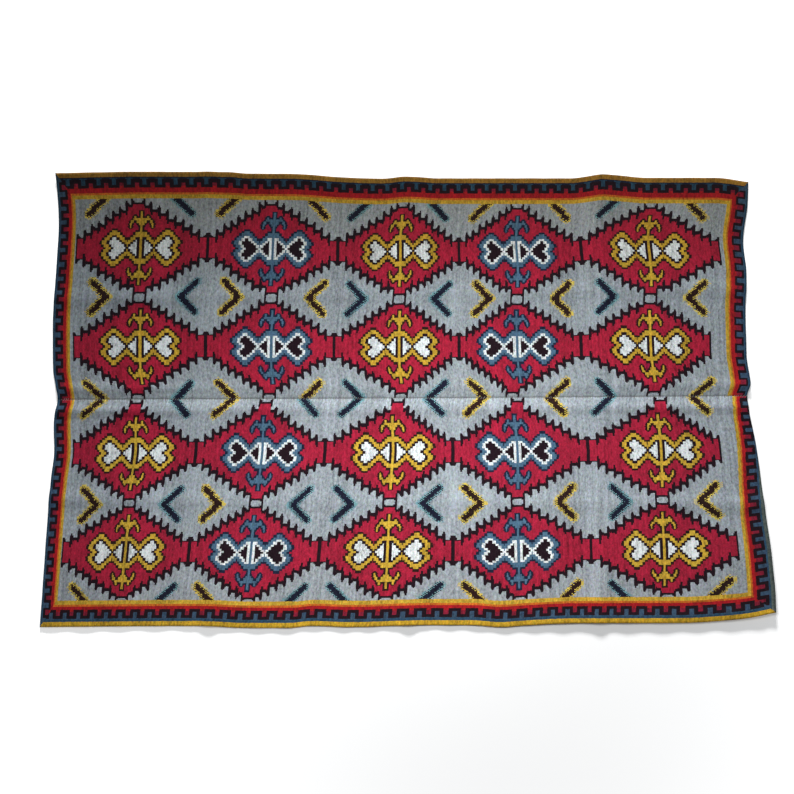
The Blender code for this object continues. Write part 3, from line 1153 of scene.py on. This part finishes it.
@dataclass(frozen=True)
class WoolFinish:
    """Weft-faced wool weave whose colours come from the stitches' own dyes."""
    lot: DyeLot
    effects: WeaveEffects
    roughness: float = 0.86
    wear_roughness: float = 0.08
    specular: float = 0.12
    sheen: float = 0.04
    sheen_roughness: float = 0.6
    picks_per_end: float = 1.9
    rib_height: float = 0.0006
    rib_strength: float = 0.6
    # Painted shade in the grooves between the ribs, and painted light that lifts the ribs.
    painted_groove_shade: float = -0.30
    painted_rib_light: float = 0.12
    cast: tuple[float, float] = (0.5, 0.75)      # the cast's depth, and the least of it
    edge_shade_span: tuple[float, float] = (0.45, 0.95)   # where the painted edge shade starts and is full, as shares of the width
    lint: Colour = (150, 146, 142)
    lint_share: float = 0.10
    wear_share: float = 0.02

    def material(self) -> bpy.types.Material:
        """Build the material.

        The dye's colour is shaded by its abrash, darkened by painted shade in the grooves between
        the ribs, given painted light and shade by the seam and painted shade towards the outer
        edge, then cast, and covered by a little lint.

        Returns:
            The material.
        """
        made, graph, shader = new_material(self.lot.name)
        loom = graph.add("ShaderNodeUVMap", {"uv_map": "loom"}).outputs[0]
        place = graph.add("ShaderNodeUVMap", {"uv_map": "stitch"}).outputs[0]
        low, high = (graph.add("ShaderNodeAttribute", {"attribute_name": name}).outputs
                     for name in WARP_LAYERS)
        dye = graph.group(self.effects.stitch, Place=place, Low_warp=low["Color"],
                          Low_last=low["Alpha"], High_warp=high["Color"],
                          High_last=high["Alpha"])["Dye"]
        relief = graph.group(self.effects.relief, Loom=loom, Picks_per_end=self.picks_per_end)
        abrash = graph.group(self.effects.abrash, Loom=loom, Dye=dye)
        across = graph.parts(loom)[1]
        # Painted shade: the grooves between the ribs are darkened, and the rest is lifted a little.
        shade = graph.math("MULTIPLY_ADD", relief["Groove"], self.painted_groove_shade,
                           graph.math("ADD", abrash["Shade"], self.painted_rib_light))
        # Painted light and shade by the seam: the upper panel is darker next to it, the lower one
        # lighter.
        shade = graph.math("MULTIPLY", shade, graph.eased(across, 0.0, self.lot.painted_seam_reach,
                                                          self.lot.painted_seam_shading))
        colour = graph.shaded(self.ramp(graph, dye), shade)
        # Painted shade: the colour darkens towards the outer edge.
        start, full = (share * ENDS_ACROSS for share in self.edge_shade_span)
        colour = graph.tint("MULTIPLY", graph.eased(across, start, full), colour,
                            (*self.lot.painted_edge_shade, 1.0))
        depth, least = self.cast
        cast = graph.feed("ShaderNodeVectorMath", {"operation": "MULTIPLY_ADD"},
                          {0: abrash["Cast"], 1: (depth,) * 3, 2: (least,) * 3})[0]
        colour = graph.tint("MULTIPLY", 1.0, colour, cast)
        green = graph.add("ShaderNodeSeparateColor", Color=abrash["Cast"]).outputs[1]
        lint = graph.math("MULTIPLY", graph.math("SUBTRACT", green, 0.5), self.lint_share)
        worn = graph.math("MULTIPLY_ADD", abrash["Wear"], self.wear_share,
                          graph.math("MAXIMUM", lint, 0.0))
        bump = graph.add("ShaderNodeBump", Height=relief["Height"], Strength=self.rib_strength,
                         Distance=self.rib_height)
        graph.fill(shader, Base_Color=graph.tint("MIX", worn, colour, linear(*self.lint)),
                   Roughness=graph.math("MULTIPLY_ADD", abrash["Wear"], self.wear_roughness,
                                        self.roughness),
                   Normal=bump.outputs[0], Specular_IOR_Level=self.specular,
                   Sheen_Weight=self.sheen, Sheen_Roughness=self.sheen_roughness)
        return made

    def ramp(self, graph: Graph, dye: Socket) -> Socket:
        """The dye's colour, read from a ramp of plain steps.

        Args:
            graph: the material's graph.
            dye: the dye's number, as a share of all the dyes.

        Returns:
            The colour.
        """
        node = graph.add("ShaderNodeValToRGB", Fac=dye)
        node.color_ramp.interpolation = "CONSTANT"
        stops = node.color_ramp.elements
        stops.remove(stops[1])
        for kind, colour in self.lot.colours().items():
            stop = stops.new(kind.value / DYES_IN_RAMP) if kind.value else stops[0]
            stop.color = linear(*colour)
        return node.outputs["Color"]


@dataclass(frozen=True)
class YarnFinish:
    """Plied sewing yarn, with its twist and flecks."""
    name: str
    colour: Colour
    shadow: Colour
    twist: float = 5.0           # stripes of plies along one stitch
    ply_share: float = 0.8
    ply_strength: float = 0.7
    ply_height: float = 0.0003
    fleck_shade: float = 0.4
    stitch_shade: float = 1.2
    roughness: float = 0.88
    sheen: float = 0.1

    def material(self) -> bpy.types.Material:
        """Build the material: the plies are stripes wound round the yarn.

        Returns:
            The material.
        """
        made, graph, shader = new_material(self.name)
        yarn = graph.parts(graph.add("ShaderNodeUVMap", {"uv_map": "yarn"}).outputs[0])
        ply = graph.humps(graph.math("ADD", graph.math("MULTIPLY", yarn[0], self.twist), yarn[1]))
        place = graph.add("ShaderNodeTexCoord").outputs["Object"]
        fleck, stitch = graph.noise(place, 900.0)[0], graph.noise(place, 45.0, 1.0)[0]
        colour = graph.tint("MIX", graph.math("MULTIPLY", ply, self.ply_share),
                            linear(*self.shadow), linear(*self.colour))
        shade = graph.math("MULTIPLY_ADD", fleck, self.fleck_shade,
                           graph.math("MULTIPLY", stitch, self.stitch_shade))
        bump = graph.add("ShaderNodeBump", Height=ply, Strength=self.ply_strength,
                         Distance=self.ply_height)
        graph.fill(shader, Base_Color=graph.shaded(colour, shade), Normal=bump.outputs[0],
                   Roughness=self.roughness, Sheen_Weight=self.sheen)
        return made


@dataclass(frozen=True)
class FloorFinish:
    """A plain, pale, matt floor, whose glow makes up for the light that falls off around it."""
    name: str = "pale floor"
    colour: Colour = (226, 226, 226)
    brightest: tuple[float, float, float] = (0.25, -0.75, 0.0)
    glow: tuple[float, float] = (0.0, 0.45)
    glow_reach: tuple[float, float] = (0.2, 1.9)
    roughness: float = 0.8
    uneven: float = 0.1

    def material(self) -> bpy.types.Material:
        """Build the material, with a faint unevenness in its roughness.

        Returns:
            The material.
        """
        made, graph, shader = new_material(self.name)
        place = graph.add("ShaderNodeTexCoord").outputs["Object"]
        away = graph.feed("ShaderNodeVectorMath", {"operation": "DISTANCE"},
                          {0: place, 1: self.brightest})["Value"]
        rough = graph.math("MULTIPLY_ADD", graph.noise(place, 3.0)[0], self.uneven, self.roughness)
        graph.fill(shader, Base_Color=linear(*self.colour), Roughness=rough,
                   Emission_Color=(1.0, 1.0, 1.0, 1.0),
                   Emission_Strength=graph.eased(away, *self.glow_reach, *self.glow))
        return made


# ---------------------------------------------------------------- mesh building
def new_object(name: str, points: np.ndarray, faces: np.ndarray) -> bpy.types.Object:
    """Make an object of four-cornered faces, shaded smoothly.

    Args:
        name: its name, also its mesh's.
        points: the vertices, three numbers each.
        faces: four vertex numbers each, counter-clockwise from outside.

    Returns:
        The object, linked to the scene, unturned at the origin.
    """
    mesh = bpy.data.meshes.new(name)
    mesh.vertices.add(len(points))
    mesh.vertices.foreach_set("co", np.asarray(points, np.float32).ravel())
    mesh.loops.add(faces.size)
    mesh.loops.foreach_set("vertex_index", faces.astype(np.int32).ravel())
    mesh.polygons.add(len(faces))
    mesh.polygons.foreach_set("loop_start", np.arange(0, faces.size, 4, dtype=np.int32))
    mesh.update(calc_edges=True)
    mesh.polygons.foreach_set("use_smooth", np.ones(len(faces), bool))
    mesh.validate()
    made = bpy.data.objects.new(name, mesh)
    bpy.context.scene.collection.objects.link(made)
    return made


def add_uv(target: bpy.types.Object, name: str, corners: np.ndarray) -> None:
    """Give an object a UV map, from one pair of numbers for each corner of each face."""
    layer = target.data.uv_layers.new(name=name)
    layer.uv.foreach_set("vector", np.asarray(corners, np.float32).ravel())


class Walk(NamedTuple):
    """A walk along one side of a vertex grid, with the grid cell beside its first step."""
    start: tuple[int, int]
    step: tuple[int, int]
    count: int
    cell: tuple[int, int]


@dataclass
class KilimPanel:
    """One woven panel: a closed cloth whose faces carry the dyes of their stitches.

    Towards the edge is up the rug, 1, in the upper panel, and down it, -1, in the lower one.
    """
    name: str
    node: str
    edge: tuple[PlanPoint, ...]
    drift: tuple[Drift, ...]
    towards_edge: int
    chart: Chart
    finish: WoolFinish
    stray: np.random.Generator

    def plan(self) -> np.ndarray:
        """The cloth's grid on the floor, row by row from the seam.

        A Coons patch: the blend of seam and outer edge, plus the blend of both ends, less the
        corners' own blend. The outer edge is read at drifted shares, as the weaving drifted.

        Returns:
            One (along, across) pair for each row and column.
        """
        columns = np.linspace(0.0, 1.0, FACES_ALONG + 1)
        rows = np.linspace(0.0, 1.0, FACES_ACROSS + 1)
        gap = np.array([0.0, 0.5 * SEAM_GAP * self.towards_edge])
        drifted = smooth_through([d.seam_share for d in self.drift],
                                 [d.edge_share for d in self.drift], columns)
        inner = (edge_curve(SEAM_LINE, columns) + gap)[None]
        outer = edge_curve(self.edge, drifted)[None]
        left = end_curve(LEFT_END, inner[0, 0], outer[0, 0], rows)[:, None]
        right = end_curve(RIGHT_END, inner[0, -1], outer[0, -1], rows)[:, None]
        u, v = columns[None, :, None], rows[:, None, None]
        corners = ((1 - u) * (1 - v) * inner[:, :1] + u * (1 - v) * inner[:, -1:]
                   + (1 - u) * v * outer[:, :1] + u * v * outer[:, -1:])
        return (1 - v) * inner + v * outer + (1 - u) * left + u * right - corners

    def points(self) -> np.ndarray:
        """Both sides' vertices, the underside first.

        The underside is the plan raised by the folds and the fine relief. The top is one
        thickness above it, and a little more along the selvedge. Inner vertices stray.

        Returns:
            The vertices, by side, row and column.
        """
        plan = self.plan()
        rows, columns = plan.shape[:2]
        row, column = np.arange(rows)[:, None], np.arange(columns)[None, :]
        end_gap = np.minimum(column, columns - 1 - column) * (MEAN_LENGTH / (columns - 1))
        long_gap = (rows - 1 - row) * (MEAN_WIDTH / (rows - 1))
        from_edge = np.minimum(end_gap, long_gap)
        inside = (from_edge > 0) & (row > 0)
        shift = self.stray.normal(0.0, STRAY, plan.shape).clip(-2.0 * STRAY, 2.0 * STRAY)
        plan = plan + shift * inside[..., None]
        low = (lift_off_floor(plan[..., 0], plan[..., 1])
               + fine_relief(plan[..., 0], plan[..., 1], from_edge))
        bead = SELVEDGE_BEAD * np.exp(-(from_edge / SELVEDGE_REACH) ** 2)
        high = low + CLOTH_THICKNESS + bead
        return np.stack([np.dstack([plan, height]) for height in (low, high)])

    def faces(self, rows: int, columns: int) -> tuple[np.ndarray, np.ndarray, np.ndarray]:
        """The faces of both sides and of the rim.

        Args:
            rows: how many rows of vertices there are.
            columns: how many columns.

        Returns:
            Vertex numbers, the vertices' places on the grid, and each face's own grid cell.
        """
        number = np.arange(rows * columns).reshape(rows, columns)
        cell = np.stack(np.mgrid[0:rows - 1, 0:columns - 1], axis=-1).reshape(-1, 2)
        turn = np.array([[0, 0], [0, 1], [1, 1], [1, 0]])[::self.towards_edge]
        grid = cell[:, None, :] + turn
        grids, cells = [grid, grid[:, ::-1]], [cell, cell]
        levels = [np.ones(grid.shape[:2], int), np.zeros(grid.shape[:2], int)]
        far, right = rows - 1, columns - 1
        walks = (
            Walk(start=(0, 0), step=(0, 1), count=right, cell=(0, 0)),
            Walk(start=(far, right), step=(0, -1), count=right, cell=(far - 1, right - 1)),
            Walk(start=(far, 0), step=(-1, 0), count=far, cell=(far - 1, 0)),
            Walk(start=(0, right), step=(1, 0), count=far, cell=(0, right - 1)),
        )
        for walk in walks:
            gone = np.arange(walk.count)[:, None] * walk.step
            here = np.array(walk.start) + gone
            ahead = here + walk.step
            grids.append(np.stack([here, ahead, ahead, here], axis=1)[:, ::self.towards_edge])
            cells.append(np.array(walk.cell) + gone)
            levels.append(np.tile([0, 0, 1, 1][::self.towards_edge], (walk.count, 1)))
        grid, cell, level = (np.concatenate(rim) for rim in (grids, cells, levels))
        return number[grid[..., 0], grid[..., 1]] + level * rows * columns, grid, cell

    def build(self) -> bpy.types.Object:
        """Returns:
            The panel.
        """
        points = self.points()
        rows, columns = points.shape[1:3]
        faces, grid, cell = self.faces(rows, columns)
        panel = new_object(self.name, points.reshape(-1, 3), faces)
        add_uv(panel, "stitch", (grid - cell[:, None, :])[..., ::-1])
        add_uv(panel, "loom", grid[..., ::-1] * (FACE_STITCHES / STITCHES_PER_END, FACE_WARPS))
        add_uv(panel, "OFBake", self.bake_map(grid, cell, rows, columns))
        dyes = (self.chart.in_faces()[cell[:, 0], cell[:, 1]] + 0.5) / DYES_IN_RAMP
        for warp, name in enumerate(WARP_LAYERS):
            layer = panel.data.attributes.new(name, "FLOAT_COLOR", "FACE")
            layer.data.foreach_set("color", dyes[:, warp].astype(np.float32).ravel())
        panel.data.materials.append(self.finish.material())
        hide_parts(self.node)
        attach(panel, "root")
        LOG.info("%s: %d faces, %d stitches", self.name, len(faces), self.chart.dyes.size)
        return panel

    def bake_map(self, grid: np.ndarray, cell: np.ndarray, rows: int, columns: int
                 ) -> np.ndarray:
        """The panel on the unit square, as two strips, with both faces on the same place.

        Args:
            grid: the corners' places on the vertex grid.
            cell: the faces' cells.
            rows: how many rows of vertices there are.
            columns: how many columns.

        Returns:
            One pair of numbers for each corner of each face.
        """
        half = (columns - 1) // 2
        strip = (cell[:, 1] >= half).astype(float)[:, None]
        inset = np.where(np.arange(4) < 2, 0.0, 1.0)[None, :]
        row, column = grid[..., 0].astype(float), grid[..., 1].astype(float)
        flat_row = (row.max(axis=1) == row.min(axis=1))[:, None]
        flat_column = (column.max(axis=1) == column.min(axis=1))[:, None]
        row = np.where(flat_row, cell[:, :1] + inset, row)
        column = np.where(flat_column, cell[:, 1:] + inset, column)
        u = (column - strip * half) / half
        v = 0.5 * (row / (rows - 1) + strip)
        return np.stack([u, v], axis=-1)


@dataclass
class SeamStitches:
    """The whip stitches over the seam: short slanted loops of plied yarn, joined in one mesh."""
    name: str
    finish: YarnFinish
    stray: np.random.Generator
    count: int = 284
    reach: float = 0.0046
    slant: float = 0.0026
    radius: float = 0.00075
    bulge: float = 0.0011
    sunk: float = 0.0004         # how deep in the cloth a stitch's ends are
    end_share: float = 0.55      # how thick the yarn is at its ends, as a share of its middle
    spacing_stray: float = 0.22  # how much the stitches' places, sizes, slants and yarns differ
    sizes: tuple[float, float] = (0.75, 1.2)
    slant_stray: float = 0.25
    thickness: tuple[float, float] = (0.85, 1.15)
    rings: int = 7
    sides: int = 6

    def path(self) -> tuple[np.ndarray, np.ndarray]:
        """The stitches' middle lines, and the yarn's radius along them.

        A loop's line is reach * t across the seam and slant * t along it, for t from -1 to 1,
        and its height above the cloth is bulge * (1 - t * t), less a sunk part at both ends.

        Returns:
            The places and the radii, by stitch and ring.
        """
        share = np.arange(self.count) + 0.5 + self.stray.uniform(
            -self.spacing_stray, self.spacing_stray, self.count)
        middle = edge_curve(SEAM_LINE, share / self.count)[:, None, :]
        t = np.linspace(-1.0, 1.0, self.rings)[None, :]
        size = self.stray.uniform(*self.sizes, self.count)[:, None]
        lean = self.stray.normal(1.0, self.slant_stray, self.count)[:, None]
        along = middle[..., 0] + self.slant * lean * t
        across = middle[..., 1] + self.reach * size * t
        base = lift_off_floor(along, across) + fine_relief(along, across, np.ones(t.shape))
        height = base + CLOTH_THICKNESS - self.sunk + self.bulge * size * (1.0 - t * t)
        rounded = self.end_share + (1.0 - self.end_share) * np.sqrt(1.0 - t * t)
        yarn = self.stray.uniform(*self.thickness, (self.count, 1))
        return np.stack([along, across, height], axis=-1), self.radius * rounded * yarn

    def points(self) -> np.ndarray:
        """The vertices: a circle round every place of a stitch's line, square to it.

        Returns:
            The vertices of all the stitches in one list.
        """
        path, radius = self.path()
        heading = np.gradient(path, axis=1)
        heading /= np.linalg.norm(heading, axis=-1, keepdims=True)
        aside = np.cross(heading, np.array([0.0, 0.0, 1.0]))
        aside /= np.linalg.norm(aside, axis=-1, keepdims=True)
        above = np.cross(aside, heading)
        turn = np.linspace(0.0, 2.0 * np.pi, self.sides, endpoint=False)
        circle = (np.cos(turn)[:, None] * aside[..., None, :]
                  + np.sin(turn)[:, None] * above[..., None, :])
        return (path[..., None, :] + radius[..., None, None] * circle).reshape(-1, 3)

    def faces(self) -> tuple[np.ndarray, np.ndarray]:
        """The faces of the tubes, then two at each end that close them.

        A corner's place on the yarn is how far along it is and how far round. Each stitch is
        one long. The ends, which the cloth hides, count rings straight through all stitches.

        Returns:
            Vertex numbers, and each corner's place on the yarn.
        """
        last = self.rings - 1
        loop, ring, corner = np.mgrid[0:self.count, 0:last, 0:self.sides]
        ahead = (corner + 1) % self.sides
        start = (loop * self.rings + ring) * self.sides
        faces = np.stack([start + corner, start + self.sides + corner,
                          start + self.sides + ahead, start + ahead], axis=-1).reshape(-1, 4)
        u = np.stack([ring, ring + 1, ring + 1, ring], axis=-1) / last + loop[..., None]
        v = np.stack([corner, corner, corner + 1, corner + 1], axis=-1) / self.sides
        round_end = np.array([[0, 1, 2, 3], [0, 3, 4, 5]])
        ends = np.stack([round_end, round_end[:, ::-1] + last * self.sides])
        first = np.arange(self.count)[:, None, None, None] * self.rings * self.sides
        ends = (first + ends).reshape(-1, 4)
        on_ends = np.stack([ends // self.sides / last, ends % self.sides / self.sides], axis=-1)
        return (np.concatenate([faces, ends]),
                np.concatenate([np.stack([u, v], axis=-1).reshape(-1, 4, 2), on_ends]))

    def build(self) -> bpy.types.Object:
        """Returns:
            The stitches, as one piece.
        """
        points = self.points()
        faces, on_yarn = self.faces()
        stitches = new_object(self.name, points, faces)
        add_uv(stitches, "yarn", on_yarn)
        stitches.data.materials.append(self.finish.material())
        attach(stitches, "root")
        LOG.info("%s: %d stitches", self.name, self.count)
        return stitches


# ---------------------------------------------------------------- the studio
@dataclass(frozen=True)
class SoftBox:
    """A rectangular light: where it is, what it looks at, how it shines, and what it lights."""
    name: str
    at: tuple[float, float, float]
    aim: tuple[float, float, float]
    width: float
    height: float
    power: float
    colour: tuple[float, float, float] = (1.0, 1.0, 1.0)
    lights_only: str = ""

    def build(self) -> bpy.types.Object:
        """Add the light. One that names an object lights that object only.

        Returns:
            The light.
        """
        light = bpy.data.lights.new(self.name, "AREA")
        light.shape = "RECTANGLE"
        light.size, light.size_y = self.width, self.height
        light.energy = self.power
        light.color = self.colour
        made = bpy.data.objects.new(self.name, light)
        made.location = self.at
        away = np.array(self.at) - np.array(self.aim)
        made.rotation_euler = Vector(away).to_track_quat("Z", "Y").to_euler()
        bpy.context.scene.collection.objects.link(made)
        if self.lights_only:
            lit = bpy.data.collections.new(self.lights_only + " alone")
            lit.objects.link(bpy.data.objects[self.lights_only])
            made.light_linking.receiver_collection = lit
        return made


@dataclass
class Studio:
    """The floor, the lights and the camera, which looks from almost straight above."""
    floor: FloorFinish
    look_at: tuple[float, float, float] = (-0.0391, -0.0024, 0.0)
    elevation: float = 85.0
    distance: float = 4.57
    lens: float = 56.43
    lights: tuple[SoftBox, ...] = (
        SoftBox("overhead", (-0.14, 0.06, 1.45), (0.90, -1.80, 0.0), 0.9, 0.7, 25.0),
        SoftBox("low", (-0.5, 14.0, 3.75), (0.0, 0.0, 0.0), 3.5, 0.5, 1200.0),
        SoftBox("raking", (-0.5, 14.0, 3.1), (0.0, 0.0, 0.0), 3.5, 1.1, 5500.0,
                lights_only="floor"),
    )
    daylight: float = 0.20
    sky: tuple[float, float, float, float] = (0.93, 0.97, 1.0, 1.0)
    sensor: float = 36.0
    floor_half: float = 6.0
    floor_cells: int = 24
    floor_drop: float = 0.0002

    def build(self) -> None:
        """Add everything."""
        self.build_floor()
        for light in self.lights:
            light.build()
        self.build_world()
        self.build_camera()

    def build_floor(self) -> None:
        """Add the floor: a flat square of faces, far wider than the view, a hair below the rug."""
        side = np.linspace(-self.floor_half, self.floor_half, self.floor_cells + 1)
        along, across = np.meshgrid(side, side)
        points = np.stack([along, across, np.full(along.shape, -self.floor_drop)], axis=-1)
        row, column = np.mgrid[0:self.floor_cells, 0:self.floor_cells]
        start = row * side.size + column
        faces = np.stack([start, start + 1, start + side.size + 1, start + side.size], axis=-1)
        floor = new_object("floor", points.reshape(-1, 3), faces.reshape(-1, 4))
        floor.data.materials.append(self.floor.material())

    def build_world(self) -> None:
        """Even daylight from all sides."""
        world = bpy.data.worlds.new("daylight")
        world.use_nodes = True
        back = world.node_tree.nodes["Background"]
        back.inputs["Color"].default_value = self.sky
        back.inputs["Strength"].default_value = self.daylight
        bpy.context.scene.world = world

    def build_camera(self) -> None:
        """The camera, where the photographer held it."""
        data = bpy.data.cameras.new("camera")
        data.lens = self.lens
        data.sensor_width = self.sensor
        data.dof.use_dof = False
        data.clip_start, data.clip_end = 0.05, 50.0
        camera = bpy.data.objects.new("camera", data)
        up = radians(self.elevation)
        back = np.array([0.0, -np.cos(up), np.sin(up)])
        camera.location = np.array(self.look_at) + self.distance * back
        camera.rotation_euler = (radians(90.0 - self.elevation), 0.0, 0.0)
        bpy.context.scene.collection.objects.link(camera)
        bpy.context.scene.camera = camera
        bpy.context.scene.view_settings.view_transform = "Standard"


def main() -> None:
    """Weave both panels, sew them together and set up the studio."""
    logging.basicConfig(level=logging.INFO, format="%(name)s: %(message)s")
    stray = np.random.default_rng(RANDOM_SEED)
    effects = WeaveEffects()
    upper = KilimPanel(
        "upper_kilim", "upper_panel", UPPER_EDGE, UPPER_DRIFT, 1,
        woven_chart(UPPER_ROWS, Chevrons(UPPER_CHEVRONS, UPPER_STRAW_CHEVRONS),
                    Borders(UPPER_LONG_SIDE, LEFT_SIDE, UPPER_RIGHT_SIDE)),
        WoolFinish(UPPER_LOT, effects), stray).build()
    lower = KilimPanel(
        "lower_kilim", "lower_panel", LOWER_EDGE, LOWER_DRIFT, -1,
        woven_chart(LOWER_ROWS, Chevrons(LOWER_CHEVRONS, LOWER_STRAW_CHEVRONS),
                    Borders(LOWER_LONG_SIDE, LEFT_SIDE, LOWER_RIGHT_SIDE)),
        WoolFinish(LOWER_LOT, effects), stray).build()
    stitches = SeamStitches(
        "seam_stitches", YarnFinish("sewing yarn", (196, 190, 182), (104, 98, 98)),
        stray).build()
    Studio(FloorFinish()).build()


if __name__ == "__main__":
    main()
